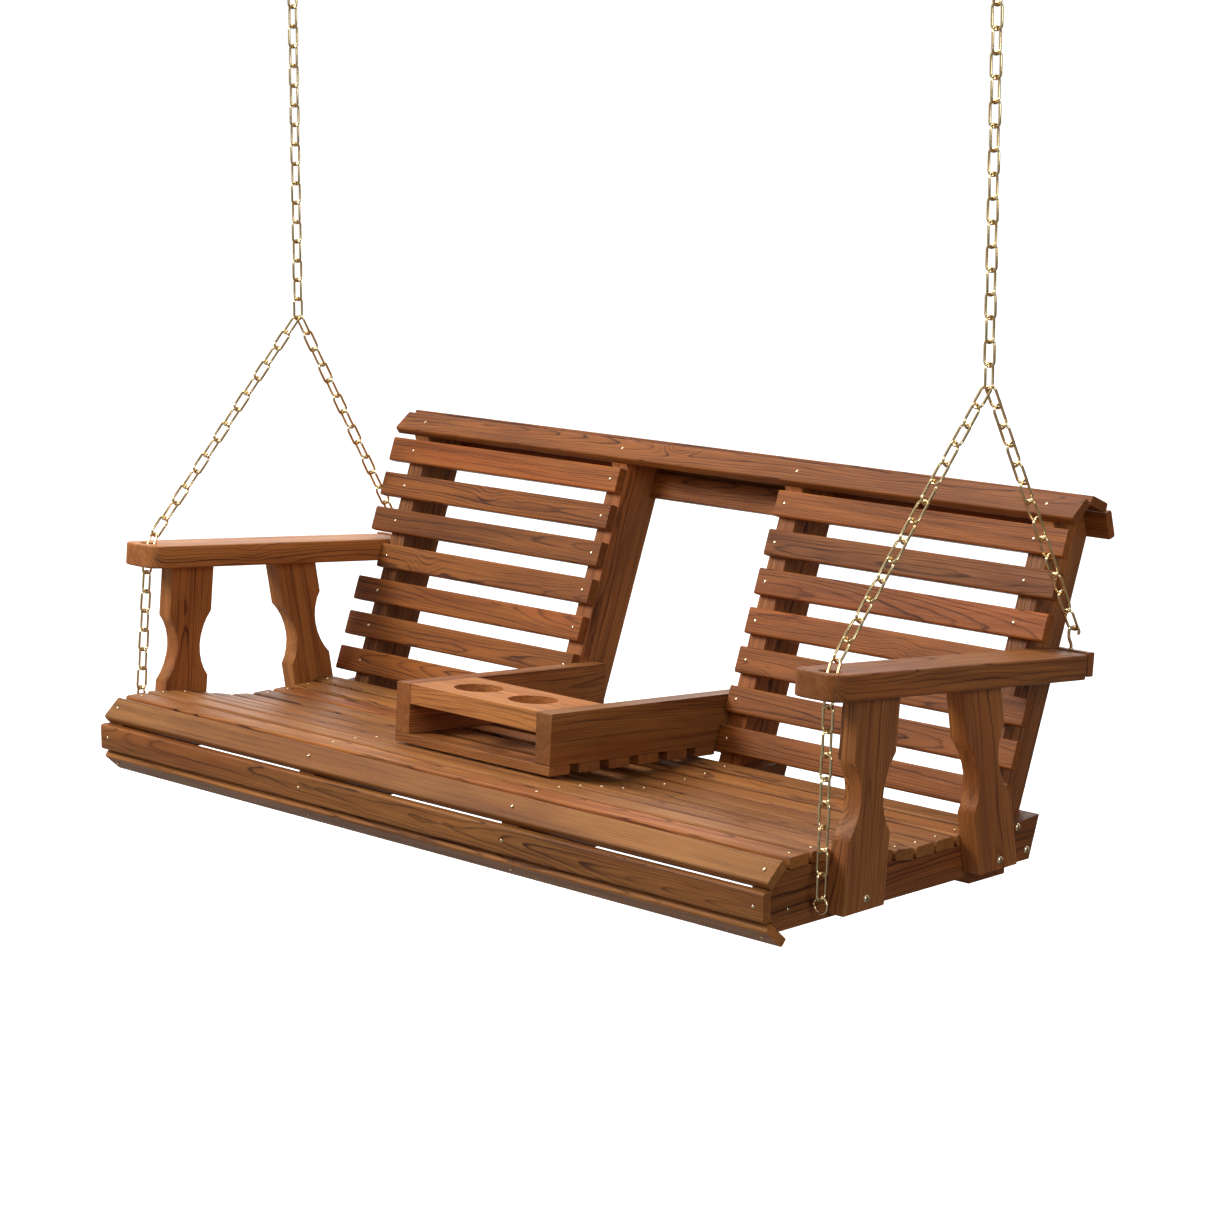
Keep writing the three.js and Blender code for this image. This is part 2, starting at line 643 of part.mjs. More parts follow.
// eye screw in the side of the seat, the run up to the armrest, one link in its hole, and the rest
function addFrontChains(junction) {
  const [eyeX, eyeY, eyeZ] = EYE_CENTRE;
  const eye = new THREE.TorusGeometry(EYE_RADIUS, WIRE / 2, 6, 18);
  eye.rotateX(Math.PI / 2);
  eye.translate(eyeX, eyeY, eyeZ);
  const shankLength = eyeX - EYE_RADIUS - POST_INNER + 1;
  const shank = new THREE.CylinderGeometry(WIRE / 2, WIRE / 2, shankLength, 8);
  shank.rotateZ(Math.PI / 2);
  shank.translate(POST_INNER + shankLength / 2, eyeY, eyeZ);
  const eyeTop = new THREE.Vector3(eyeX, eyeY, eyeZ + EYE_RADIUS - WIRE / 2 + LINK_LAP / 2);
  const bend = new THREE.Vector3(...HOLE_BEND);
  const exit = new THREE.Vector3(...HOLE_EXIT);
  const right = fuse([
    shank,
    eye,
    ...chainRun(eyeTop, bend, CHAIN_BELOW_ARM, false),
    ...chainRun(bend, exit, 1, true),
    ...chainRun(exit, bearingBefore(exit, junction), CHAIN_ABOVE_ARM, false),
  ]);
  place('right_front_chain', right.clone(), brassMaterial());
  place('left_front_chain', mirrored(right), brassMaterial());
}

// open screw hook standing in the arm end block, and the run to the junction
function addRearChains(junction) {
  const top = new THREE.Vector3(...HOOK_TOP);
  const links = chainRun(top, bearingBefore(top, junction), REAR_CHAIN, true);
  const right = fuse([...links, hookSolid()]);
  place('right_rear_chain', right.clone(), brassMaterial());
  place('left_rear_chain', mirrored(right), brassMaterial());
}

// centre line of the hook: up from the block, a bend forward, then the open bow
class HookCurve extends THREE.Curve {
  constructor(foot, level) {
    super();
    this.foot = foot;
    this.level = level;
  }

  getPoint(t, target = new THREE.Vector3()) {
    const arc = HOOK_BOW * radians(HOOK_SWEEP);
    const travelled = t * (HOOK_BOW_HEIGHT + arc);
    const share = (travelled - HOOK_NECK[0]) / (HOOK_NECK[1] - HOOK_NECK[0]);
    const bend = (1 - Math.cos(Math.PI * THREE.MathUtils.clamp(share, 0, 1))) / 2;
    let forward = -HOOK_LEAN * bend;
    let height = travelled;
    if (travelled > HOOK_BOW_HEIGHT) {
      const turn = Math.PI - (travelled - HOOK_BOW_HEIGHT) / HOOK_BOW;
      forward = HOOK_BOW - HOOK_LEAN + HOOK_BOW * Math.cos(turn);
      height = HOOK_BOW_HEIGHT + HOOK_BOW * Math.sin(turn);
    }
    target.copy(this.foot).addScaledVector(this.level, forward);
    target.z += height;
    return target;
  }
}

// the bow is turned half outwards
function hookSolid() {
  const blockTop = armTop(HOOK_FOOT[1]) + END_BLOCK_RISE / Math.cos(armTilt);
  const foot = new THREE.Vector3(HOOK_FOOT[0], HOOK_FOOT[1], blockTop + GAP);
  const level = new THREE.Vector3(1, 1, 0).normalize();
  const section = new THREE.Shape();
  section.absarc(0, 0, HOOK_WIRE / 2, 0, Math.PI * 2, false);
  return new THREE.ExtrudeGeometry(section, {
    extrudePath: new HookCurve(foot, level), steps: 22, curveSegments: 3, bevelEnabled: false,
  });
}

function addUpperChains(junctionTop, hangerBearing) {
  const right = fuse(chainRun(junctionTop, hangerBearing, UPPER_LINKS, false));
  place('right_upper_chain', right.clone(), brassMaterial());
  place('left_upper_chain', mirrored(right), brassMaterial());
}

// The lowest upper link stands in the side plane; the end links of both lower runs hang side by side
// in its bottom bow, on either side of the hinge point at the middle of that bow.
function addChains() {
  const bowInner = LINK_WIDTH / 2 - WIRE;
  const endSpread = WIRE * Math.SQRT1_2 + GAP / 2;
  const endDrop = 2;
  const lap = LINK_LAP / 2;
  addFrontChains(at(HANG_LINE_Y - endSpread, JUNCTION_Z - endDrop));
  addRearChains(at(HANG_LINE_Y + endSpread, JUNCTION_Z - endDrop));
  const lowest = at(HANG_LINE_Y, JUNCTION_Z - bowInner - lap);
  const highest = at(HANG_LINE_Y, lowest.z + UPPER_LINKS * UPPER_PITCH);
  addUpperChains(lowest, highest);
  addHangers(highest.z - lap - HANGER_CLEARANCE - HANGER_WIRE / 2);
}

function addHangers(bearingZ) {
  const ringCentre = bearingZ + HANGER_RING_RADIUS;
  const eye = new THREE.TorusGeometry(HANGER_RING_RADIUS, HANGER_WIRE / 2, 8, 20);
  eye.rotateX(Math.PI / 2);
  eye.translate(CHAIN_X, HANG_LINE_Y, ringCentre);
  const plate = new THREE.CylinderGeometry(
    HANGER_PLATE_RADIUS, HANGER_PLATE_RADIUS, HANGER_PLATE_THICK, 32,
  );
  plate.rotateX(Math.PI / 2);
  plate.translate(CHAIN_X, HANG_LINE_Y, CEILING_ABOVE_SEAT - HANGER_PLATE_THICK / 2);
  const neckBottom = ringCentre + HANGER_RING_RADIUS - 1;
  const neckLength = CEILING_ABOVE_SEAT - HANGER_PLATE_THICK + 1 - neckBottom;
  const neck = new THREE.CylinderGeometry(...HANGER_NECK_RADII, neckLength, 12);
  neck.rotateX(Math.PI / 2);
  neck.translate(CHAIN_X, HANG_LINE_Y, neckBottom + neckLength / 2);
  const right = fuse([plate, neck, eye]);
  place('right_ceiling_hanger', right.clone(), brassMaterial());
  place('left_ceiling_hanger', mirrored(right), brassMaterial());
}

addRails();
addSeatSlats();
addFrontBoards();
addStretcher();
addSupports();
addBackSlats();
addTopBoards();
addStopBoard();
addArmrests();
addPosts();
addEndBlocks();
addConsole();
addHingeRod();
addChains();

export default swing;
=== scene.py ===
"""Looks of the porch swing seat: stained softwood boards, brass chains, nails and bolts.

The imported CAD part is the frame. Its wooden nodes stay and get softened edges and a wood grain
of their own. Finer pieces replace the chains, the ceiling hangers, the hinge rod, and the
console's left arm with its slats. The swing's sizes are bench millimetres, which bench() turns
into metres in the frame of the CAD. Grain, lights and camera are given in metres.
"""

import math
import random

import bmesh
import bpy
from mathutils import Matrix, Vector


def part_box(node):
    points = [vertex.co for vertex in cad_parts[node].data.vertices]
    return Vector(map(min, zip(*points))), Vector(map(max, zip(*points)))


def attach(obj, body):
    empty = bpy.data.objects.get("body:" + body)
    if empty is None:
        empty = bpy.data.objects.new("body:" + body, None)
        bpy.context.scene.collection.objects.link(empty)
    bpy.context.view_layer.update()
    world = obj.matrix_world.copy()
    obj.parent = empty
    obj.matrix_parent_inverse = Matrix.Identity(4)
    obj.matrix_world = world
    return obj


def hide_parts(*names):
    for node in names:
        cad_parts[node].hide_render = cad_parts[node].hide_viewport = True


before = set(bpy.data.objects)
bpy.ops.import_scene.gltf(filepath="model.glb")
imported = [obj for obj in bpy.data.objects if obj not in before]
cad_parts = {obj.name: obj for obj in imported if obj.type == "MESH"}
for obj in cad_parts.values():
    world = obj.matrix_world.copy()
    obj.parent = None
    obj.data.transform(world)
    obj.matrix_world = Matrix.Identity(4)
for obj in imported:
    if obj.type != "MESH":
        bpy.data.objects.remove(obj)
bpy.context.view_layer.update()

MM = 0.001
# bench measurements start at the front seat slat; the CAD's at the ceiling, between the hangers
HANGER_Y = 390
CEILING_Z = 1240
BENCH_TO_ROW = Vector((0, -HANGER_Y, -CEILING_Z))
X_AXIS = Vector((1, 0, 0))
Y_AXIS = Vector((0, 1, 0))
Z_AXIS = Vector((0, 0, 1))

RECLINE = math.radians(20.23)
ARM_SLOPE = math.radians(5.28)
CONSOLE_FALL = math.radians(4.15)
FRONT_SLANT = math.radians(41.8)

# chains, in millimetres
CHAIN_X = 774
WIRE = 4.2
LINK_WIDTH = 21.8
LINK_CORNER = 7.6
LINKS_BELOW_ARM = 9
LINKS_IN_HOLE = 1
LINKS_ABOVE_ARM = 14
LINKS_REAR = 13
LINKS_UPPER = 17
EYE_CENTRE = (782.5, 22.7, -74.5)
EYE_RADIUS = 11.8
EYE_WIRE_RADIUS = 1.9
EYE_GAP = math.radians(12)  # half of the opening left in the eye's ring, at its shank
HOLE_BEND = (774.5, 44.5, 239)  # both ends of the one link inside the armrest's hole
HOLE_EXIT = (CHAIN_X, 59.7, 269.4)
HOOK_TOP = (775.2, 610, 238.8)
HOOK_FOOT = (772.5, 608.8, 207.2)
HOOK_BOW = 7.6
HOOK_BOW_HEIGHT = 26.2
HOOK_END = math.radians(-38)  # where the bow stops, past level on its open side
HOOK_LEAN = 3.8
HOOK_NECK = (5, 19)
HOOK_WIRE_RADIUS = 2.5
HOOK_TIP_LOSS = 0.7  # the tip is this much thinner in radius
HOOK_TIP_START = 0.93  # share of the hook's length where its tip begins
JUNCTION_WIRES = ((CHAIN_X, HANGER_Y - 2.25, 624.7), (CHAIN_X, HANGER_Y + 2.25, 624.7))
UPPER_RUN = ((CHAIN_X, HANGER_Y, 621.6), (CHAIN_X, HANGER_Y, 1201.2))

# ceiling hanger, in millimetres
PLATE_THICK = 5
PLATE_PROFILE = [(0.0, 25), (0.7, 28.5), (2.2, 31.2), (3.4, 32), (PLATE_THICK, 32)]
SCREW_CIRCLE = 21.5
SCREW_PROFILE = [(-0.9, 0), (-0.9, 1.6), (-0.5, 3.3), (0.3, 4.0), (1.2, 4.0)]
RING_Z = 1210.2
RING_RADIUS = 11
RING_WIRE_RADIUS = 2.5
NECK_BASE = 10.2  # above the ring's centre
NECK_PROFILE = [(-1.5, 0), (-1.5, 3.2), (1.5, 4.2), (5, 4.6), (9, 5.6), (12.5, 8.5), (15.2, 12)]

# console, in millimetres
CONSOLE_FRONT = (81.0, -3.3)
CONSOLE_HALF = 179
CONSOLE_LENGTH = 449
CONSOLE_ARM = (33, 82)
CONSOLE_SLATS = 7
CONSOLE_SLAT_PITCH = 66.3
CONSOLE_SLAT = (46, 16)
HINGE = (493.03, -4.02)
ROD_LENGTH = 442
ROD_RADIUS = 4.6
THREAD_PITCH = 1.5
THREAD_DEPTH = 0.45
ROD_BEVEL = 1.4

# boards and their fasteners, in millimetres
SEAT_SLATS = 10
SEAT_SLAT_PITCH = 46.57
BACK_SLATS = 7
BACK_SLAT_PITCH = 65.84
BACK_TOP_SLAT = (598.9, 369.5)  # middle of the top slat's face, in depth and height
SEAT_NAIL_COLUMNS = (743, 236)  # distances from the middle: over the outer and the inner rails
BACK_NAIL_COLUMNS = (704.5, 199.6)
NAIL = (2.8, 1.5)  # radius and height of a head
RAIL_NAIL = (2.6, 1.2)
RAIL_FACE_X = 762
RAIL_NAILS = ((-22.4, -75.1), (40.2, -90.7))
UPPER_FRONT_NAIL = (-52.3, -15.0)
MIDDLE_FRONT_NAIL = (-74.9, -64.4)
LOWER_FRONT_NAIL = (-54.4, -113.6)
TOP_BOARD_NAIL = (629.4, 419.6)
POST_THICK = 31.5
BOARD_GAP = 0.3  # between boards that lie against each other
POST_FACE_X = RAIL_FACE_X + BOARD_GAP + POST_THICK
RAIL_BOLT_REACH = 47  # from a bolt's head to its nut's washer
POST_BOLT_REACH = 69.5
BOLTS = (  # x of the face, depth, height, reach
    (RAIL_FACE_X, 498.5, -53, RAIL_BOLT_REACH),
    (RAIL_FACE_X, 521.8, -92.4, RAIL_BOLT_REACH),
    (POST_FACE_X, 107, -79, POST_BOLT_REACH),
    (POST_FACE_X, 415, -82, POST_BOLT_REACH),
)
WASHER_PROFILE = [(0, 7.5), (1.2, 7.5)]
NUT_PROFILE = [(1.2, 5.4), (1.6, 5.9), (5.5, 5.9), (5.9, 5.4)]
BOLT_END_PROFILE = [(5, 2.9), (8.5, 2.9), (9, 2.3)]


def bench(x, y, z):
    """A point given in bench millimetres, in the row frame."""
    return (Vector((x, y, z)) + BENCH_TO_ROW) * MM


def on_back(depth, up):
    """Bench (y, z) of a point behind the back slats' face and above the top slat's middle."""
    top_y, top_z = BACK_TOP_SLAT
    return (
        top_y + depth * math.cos(RECLINE) + up * math.sin(RECLINE),
        top_z - depth * math.sin(RECLINE) + up * math.cos(RECLINE),
    )


# ------------------------------------------------------------------ shader nodes
class Nodes:
    """Short ways to add and join the nodes of one tree."""

    def __init__(self, tree):
        self.tree = tree

    def add(self, kind, inputs=None, **settings):
        node = self.tree.nodes.new(kind)
        for name, value in settings.items():
            setattr(node, name, value)
        for name, value in (inputs or {}).items():
            self.feed(node.inputs[name], value)
        return node

    def feed(self, socket, value):
        if isinstance(value, bpy.types.NodeSocket):
            self.tree.links.new(value, socket)
        else:
            socket.default_value = value

    def math(self, operation, *values):
        node = self.add("ShaderNodeMath", operation=operation)
        for socket, value in zip(node.inputs, values):
            self.feed(socket, value)
        return node.outputs[0]

    def vector(self, operation, *values):
        node = self.add("ShaderNodeVectorMath", operation=operation)
        for socket, value in zip(node.inputs, values):
            self.feed(socket, value)
        return node.outputs["Value" if operation in ("LENGTH", "DOT_PRODUCT") else "Vector"]

    def noise(self, where, stretch, detail=2.0, roughness=0.5):
        """Noise of the place multiplied by stretch, so a large stretch gives fine noise."""
        scaled = self.vector("MULTIPLY", where, stretch)
        return self.add(
            "ShaderNodeTexNoise",
            {"Vector": scaled, "Scale": 1.0, "Detail": detail, "Roughness": roughness,
             "Distortion": 0.0},
        )

    def smooth(self, value, low, high, to_low=0.0, to_high=1.0):
        node = self.add(
            "ShaderNodeMapRange",
            {"Value": value, "From Min": low, "From Max": high, "To Min": to_low,
             "To Max": to_high},
            interpolation_type="SMOOTHSTEP",
        )
        return node.outputs["Result"]

    def mix(self, factor, first, second, blend="MIX"):
        node = self.add("ShaderNodeMix", data_type="RGBA", blend_type=blend)
        self.feed(node.inputs[0], factor)
        self.feed(node.inputs[6], first)
        self.feed(node.inputs[7], second)
        return node.outputs[2]

    def ramp(self, value, stops):
        node = self.add("ShaderNodeValToRGB", {"Fac": value})
        elements = node.color_ramp.elements
        while len(elements) < len(stops):
            elements.new(0.5)
        for element, (position, level) in zip(elements, stops):
            element.position = position
            element.color = (level, level, level, 1)
        return node.outputs["Color"]


RING = 0.0030  # growth-ring spacing, in metres
KNOT_CELLS = (1.9, 8.0, 8.0)  # cells per metre, along and across the grain, with a knot in each
WANDER = 0.034  # how far the rings drift slowly, in metres
RIPPLE = 0.0042  # how far they ripple, in metres


def make_wood_group():
    """Sawn softwood: rings round a pith line along X, latewood, fibres, blotches, end grain.

    Grain is the place in the board's own frame, with X along the grain and the pith line as
    the X axis; End is how far the surface faces along the grain.
    """
    tree = bpy.data.node_groups.new("softwood_grain", "ShaderNodeTree")
    face = tree.interface
    face.new_socket("Grain", in_out="INPUT", socket_type="NodeSocketVector")
    face.new_socket("End", in_out="INPUT", socket_type="NodeSocketFloat")
    face.new_socket("Light", in_out="INPUT", socket_type="NodeSocketColor")
    face.new_socket("Medium", in_out="INPUT", socket_type="NodeSocketColor")
    face.new_socket("Dark", in_out="INPUT", socket_type="NodeSocketColor")
    face.new_socket("Color", in_out="OUTPUT", socket_type="NodeSocketColor")
    face.new_socket("Roughness", in_out="OUTPUT", socket_type="NodeSocketFloat")
    face.new_socket("Height", in_out="OUTPUT", socket_type="NodeSocketFloat")
    n = Nodes(tree)
    inside = n.add("NodeGroupInput")
    grain = inside.outputs["Grain"]

    # the trunk isn't straight: the rings wander slowly along the board and ripple a little
    slow = n.noise(grain, (1.7, 7.0, 7.0), detail=1.5)
    ripple = n.noise(grain, (9.0, 38.0, 38.0), detail=2.0)
    wander = n.vector("SCALE", n.vector("SUBTRACT", slow.outputs["Color"], (0.5, 0.5, 0.5)))
    wander.node.inputs["Scale"].default_value = WANDER
    small = n.vector("SCALE", n.vector("SUBTRACT", ripple.outputs["Color"], (0.5, 0.5, 0.5)))
    small.node.inputs["Scale"].default_value = RIPPLE
    place = n.vector("ADD", n.vector("ADD", grain, wander), small)
    across = n.vector("MULTIPLY", place, (0.0, 1.0, 1.0))
    radius = n.vector("LENGTH", across)
    # knots: rare oval spots that the rings bend round
    cells = n.add("ShaderNodeTexVoronoi", {"Vector": n.vector("MULTIPLY", grain, KNOT_CELLS),
                                           "Scale": 1.0})
    knot_place = n.vector("DIVIDE", cells.outputs["Position"], KNOT_CELLS)
    apart = n.vector("MULTIPLY", n.vector("SUBTRACT", knot_place, grain), (0.5, 1.0, 1.0))
    from_knot = n.vector("LENGTH", n.vector("ADD", apart, small))
    radius = n.math("ADD", radius, n.smooth(from_knot, 0.002, 0.034, 0.016, 0.0))
    knot = n.smooth(from_knot, 0.004, 0.0085, 0.85, 0.0)
    uneven = n.noise(grain, (0.3, 0.3, 0.3)).outputs["Fac"]
    turn = n.math("ADD", n.math("DIVIDE", radius, RING), uneven)
    season = n.math("FRACT", turn)
    latewood = n.ramp(
        season, [(0.0, 0.5), (0.07, 0.03), (0.58, 0.05), (0.8, 0.26), (0.92, 1.0), (1.0, 0.85)],
    )
    year = n.add("ShaderNodeTexWhiteNoise", {"W": n.math("FLOOR", turn)},
                 noise_dimensions="1D").outputs["Value"]
    year_strength = n.math("MULTIPLY_ADD", year, 0.75, 0.4)
    patch = n.smooth(n.noise(grain, (2.5, 24.0, 24.0), detail=2.0).outputs["Fac"], 0.3, 0.7,
                     0.55, 1.1)
    rings = n.math("MULTIPLY", n.math("MULTIPLY", latewood, year_strength), patch)

    fibre = n.noise(grain, (11.0, 620.0, 620.0), detail=4.0, roughness=0.62).outputs["Fac"]
    streak = n.noise(grain, (2.2, 120.0, 120.0), detail=3.0).outputs["Fac"]
    fibre_dark = n.smooth(fibre, 0.42, 0.72)
    streak_dark = n.smooth(streak, 0.4, 0.75)
    depth = n.math("MULTIPLY_ADD", rings, 0.84,
                   n.math("MULTIPLY_ADD", streak_dark, 0.38, n.math("MULTIPLY", fibre_dark, 0.28)))
    depth = n.math("MINIMUM", n.math("MAXIMUM", depth, knot), 1.0)

    blotch = n.noise(grain, (2.6, 15.0, 15.0), detail=3.0, roughness=0.6).outputs["Fac"]
    pale = n.mix(n.smooth(blotch, 0.34, 0.66), inside.outputs["Medium"], inside.outputs["Light"])
    colour = n.mix(depth, pale, inside.outputs["Dark"])
    reddish = n.noise(grain, (1.3, 9.0, 9.0), detail=2.0).outputs["Fac"]
    red = n.smooth(reddish, 0.52, 0.72, 0.0, 0.45)
    colour = n.mix(red, colour, (1.06, 0.66, 0.48, 1), "MULTIPLY")
    # the sawn ends hold their stripes, but are evener
    end = n.smooth(inside.outputs["End"], 0.55, 0.9)
    colour = n.mix(n.math("MULTIPLY", end, 0.3), colour, inside.outputs["Medium"])

    roughness = n.math("ADD", n.math("MULTIPLY_ADD", depth, 0.12, 0.44),
                       n.math("MULTIPLY", n.math("SUBTRACT", fibre, 0.5), 0.22))
    roughness = n.math("MULTIPLY_ADD", end, 0.2, roughness)
    height = n.math("MULTIPLY_ADD", rings, -0.55, n.math("MULTIPLY", fibre_dark, -0.45))
    outside = n.add("NodeGroupOutput")
    n.feed(outside.inputs["Color"], colour)
    n.feed(outside.inputs["Roughness"], roughness)
    n.feed(outside.inputs["Height"], height)
    return tree


WOOD_GROUP = make_wood_group()
# linear colours: pale early wood, middle, dark latewood, before each board's own tone
STAIN = {
    "seat_wood": ((0.42, 0.170, 0.042), (0.29, 0.102, 0.025), (0.065, 0.018, 0.0050)),
    "back_wood": ((0.37, 0.120, 0.022), (0.25, 0.073, 0.013), (0.055, 0.014, 0.0035)),
    "frame_wood": ((0.36, 0.132, 0.036), (0.24, 0.078, 0.021), (0.055, 0.015, 0.0050)),
    "arm_wood": ((0.39, 0.150, 0.040), (0.27, 0.090, 0.024), (0.062, 0.017, 0.0055)),
    "console_wood": ((0.40, 0.160, 0.044), (0.28, 0.097, 0.026), (0.065, 0.019, 0.0060)),
}


def wood_material(name, slot, centre, grain, normal, flat_sawn=None, tone=None):
    """A board's own wood: rings along its grain, with the pith a seeded way behind its face."""
    seed = random.Random("board " + name)
    if flat_sawn is None:
        flat_sawn = seed.random() < 0.72
    pith_depth = seed.uniform(0.010, 0.034) if flat_sawn else seed.uniform(0.01, 0.05)
    pith_side = seed.choice((-1, 1)) * (
        seed.uniform(0.0, 0.02) if flat_sawn else seed.uniform(0.045, 0.10))
    skew = Matrix.Rotation(math.radians(seed.uniform(-1.1, 1.1)), 3, "Y")
    skew = skew @ Matrix.Rotation(math.radians(seed.uniform(-0.6, 0.6)), 3, "Z")
    side = normal.cross(grain).normalized()
    turn = skew @ Matrix((grain.normalized(), side, grain.cross(side).normalized()))
    along = seed.uniform(-9.0, 9.0)
    start = Vector((along, pith_side, pith_depth)) - turn @ centre
    # a tone given by the caller lightens or darkens the whole board, for some boards as painted light
    # or shade; without one the board gets a random tone of its own
    tone = seed.uniform(0.84, 1.14) if tone is None else tone
    warmth = seed.uniform(-0.05, 0.05)

    material = bpy.data.materials.new("wood_" + name)
    material.use_nodes = True
    n = Nodes(material.node_tree)
    n.tree.nodes.clear()
    spot = n.add("ShaderNodeTexCoord")
    spin = tuple(turn.to_euler("XYZ"))
    place = n.add("ShaderNodeMapping", {"Vector": spot.outputs["Object"], "Rotation": spin,
                                        "Location": tuple(start)})
    facing = n.add("ShaderNodeMapping", {"Vector": spot.outputs["Normal"], "Rotation": spin})
    end = n.add("ShaderNodeSeparateXYZ", {"Vector": facing.outputs["Vector"]})
    group = n.add("ShaderNodeGroup", node_tree=WOOD_GROUP)
    n.feed(group.inputs["Grain"], place.outputs["Vector"])
    n.feed(group.inputs["End"], n.math("ABSOLUTE", end.outputs["X"]))
    for socket, colour in zip(("Light", "Medium", "Dark"), STAIN[slot]):
        red, green, blue = colour
        group.inputs[socket].default_value = (
            red * tone * (1 + warmth), green * tone, blue * tone * (1 - warmth), 1)
    bump = n.add("ShaderNodeBump", {"Strength": 0.45, "Distance": 0.0006,
                                    "Height": group.outputs["Height"]})
    shader = n.add("ShaderNodeBsdfPrincipled", {
        "Base Color": group.outputs["Color"], "Roughness": group.outputs["Roughness"],
        "Normal": bump.outputs["Normal"], "Specular IOR Level": 0.22, "IOR": 1.5,
    })
    n.add("ShaderNodeOutputMaterial", {"Surface": shader.outputs["BSDF"]})
    return material


def metal_material(name, colour, roughness):
    """Brass: a slightly uneven tint, with fine scuffs that break up its gloss."""
    material = bpy.data.materials.new(name)
    material.use_nodes = True
    n = Nodes(material.node_tree)
    n.tree.nodes.clear()
    place = n.add("ShaderNodeTexCoord").outputs["Object"]
    tarnish = n.smooth(n.noise(place, (90.0, 90.0, 90.0), detail=3.0).outputs["Fac"], 0.35, 0.75)
    dull = tuple(c * d for c, d in zip(colour, (0.7, 0.56, 0.4)))
    tint = n.mix(n.math("MULTIPLY", tarnish, 0.6), (*colour, 1), (*dull, 1))
    scuff = n.noise(place, (900.0, 900.0, 300.0), detail=3.0).outputs["Fac"]
    gloss = n.math("ADD", n.math("MULTIPLY", tarnish, 0.12),
                   n.math("MULTIPLY_ADD", scuff, 0.16, roughness - 0.08))
    bump = n.add("ShaderNodeBump", {"Strength": 0.15, "Distance": 0.0002, "Height": scuff})
    # the specular tint paints a dark reflection along the brass's edges
    shader = n.add("ShaderNodeBsdfPrincipled", {
        "Base Color": tint, "Metallic": 1.0, "Roughness": gloss,
        "Specular Tint": DARK_EDGE_REFLECTION, "Normal": bump.outputs["Normal"],
    })
    n.add("ShaderNodeOutputMaterial", {"Surface": shader.outputs["BSDF"]})
    return material


DARK_EDGE_REFLECTION = (0.30, 0.19, 0.10, 1)  # painted dark reflection: the brass's gloss goes dark brown where its surface turns away, standing in for dark surroundings mirrored at the wires' edges
BRASS = metal_material("brass", (0.96, 0.78, 0.45), 0.12)
PALE_BRASS = metal_material("pale_brass", (0.95, 0.8, 0.55), 0.16)


# ------------------------------------------------------------------ wooden CAD nodes
def soften(obj, width):
    """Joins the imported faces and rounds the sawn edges, without touching the mesh itself."""
    weld = obj.modifiers.new("join", "WELD")
    weld.merge_threshold = 0.00002
    bevel = obj.modifiers.new("eased_edges", "BEVEL")
    bevel.width = width
    bevel.segments = 2
    bevel.limit_method = "ANGLE"
    bevel.angle_limit = math.radians(50)
    bevel.use_clamp_overlap = True
    bevel.harden_normals = False
    shading = obj.modifiers.new("flat_faces", "WEIGHTED_NORMAL")
    shading.keep_sharp = False
    shading.weight = 70


def dress(node, slot, grain, normal, edge=1.2, **wood):
    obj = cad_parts[node]
    low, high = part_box(node)
    material = wood_material(node, slot, (low + high) / 2, grain, normal, **wood)
    obj.data.materials.clear()
    obj.data.materials.append(material)
    soften(obj, edge * MM)


def tilted(angle):
    """Unit vector in the side plane, turned up from straight back by the angle."""
    return Vector((0, math.cos(angle), math.sin(angle)))


def square_to(along):
    """Unit vector in the side plane, square to one there."""
    return Vector((0, -along.z, along.y))


BACK_UP = tilted(math.pi / 2 - RECLINE)
BACK_FACE = square_to(BACK_UP)
ARM_ALONG = tilted(-ARM_SLOPE)
CONSOLE_ALONG = tilted(-CONSOLE_FALL)
TOP_BOARD_FACE = Vector((0, -0.60, 0.80))
CROWN_FACE = Vector((0, 0.39, 0.92))
REAR_TOP_FACE = Vector((0, 0.965, 0.263))
FRONT_POST_ALONG = Vector((0, 0.1, 1))
REAR_POST_ALONG = Vector((0, -0.173, 1))

for side in ("right", "left"):
    for where in ("outer", "inner"):
        dress(f"{side}_{where}_seat_rail", "frame_wood", Y_AXIS, X_AXIS, tone=0.84)
        # painted light: the back supports are lightened, the inner ones most, standing in for light
        # on their right-facing sides between the slats
        dress(f"{side}_{where}_back_support", "frame_wood", BACK_UP, X_AXIS, flat_sawn=True,
              tone=1.45 if where == "inner" else 1.25)
    for number in range(1, BACK_SLATS + 1):
        dress(f"{side}_back_slat_{number}", "back_wood", X_AXIS, BACK_FACE)
    # painted light: the left armrest is lightened, standing in for light from the right on its inner
    # side
    dress(f"{side}_armrest", "arm_wood", ARM_ALONG, square_to(ARM_ALONG), edge=0.8,
          flat_sawn=True, tone=1.5 if side == "left" else 0.92)
    # painted light: the left posts are lightened, standing in for light falling on their inner sides
    post_tone_with_painted_light = 1.45 if side == "left" else 1.15
    dress(f"{side}_front_arm_post", "arm_wood", FRONT_POST_ALONG, X_AXIS, tone=post_tone_with_painted_light)
    dress(f"{side}_rear_arm_post", "arm_wood", REAR_POST_ALONG, X_AXIS, tone=post_tone_with_painted_light)
    dress(f"{side}_arm_end_block", "arm_wood", X_AXIS, Z_AXIS)
for number in range(1, SEAT_SLATS + 1):
    dress(f"seat_slat_{number}", "seat_wood", X_AXIS, Z_AXIS)
dress("upper_front_board", "seat_wood", X_AXIS, square_to(tilted(FRONT_SLANT)), tone=1.0)
dress("middle_front_board", "seat_wood", X_AXIS, -Y_AXIS)
dress("lower_front_board", "seat_wood", X_AXIS, square_to(tilted(math.pi - FRONT_SLANT)), tone=1.15)
dress("under_seat_stretcher", "frame_wood", X_AXIS, Z_AXIS)
dress("front_top_board", "back_wood", X_AXIS, TOP_BOARD_FACE)
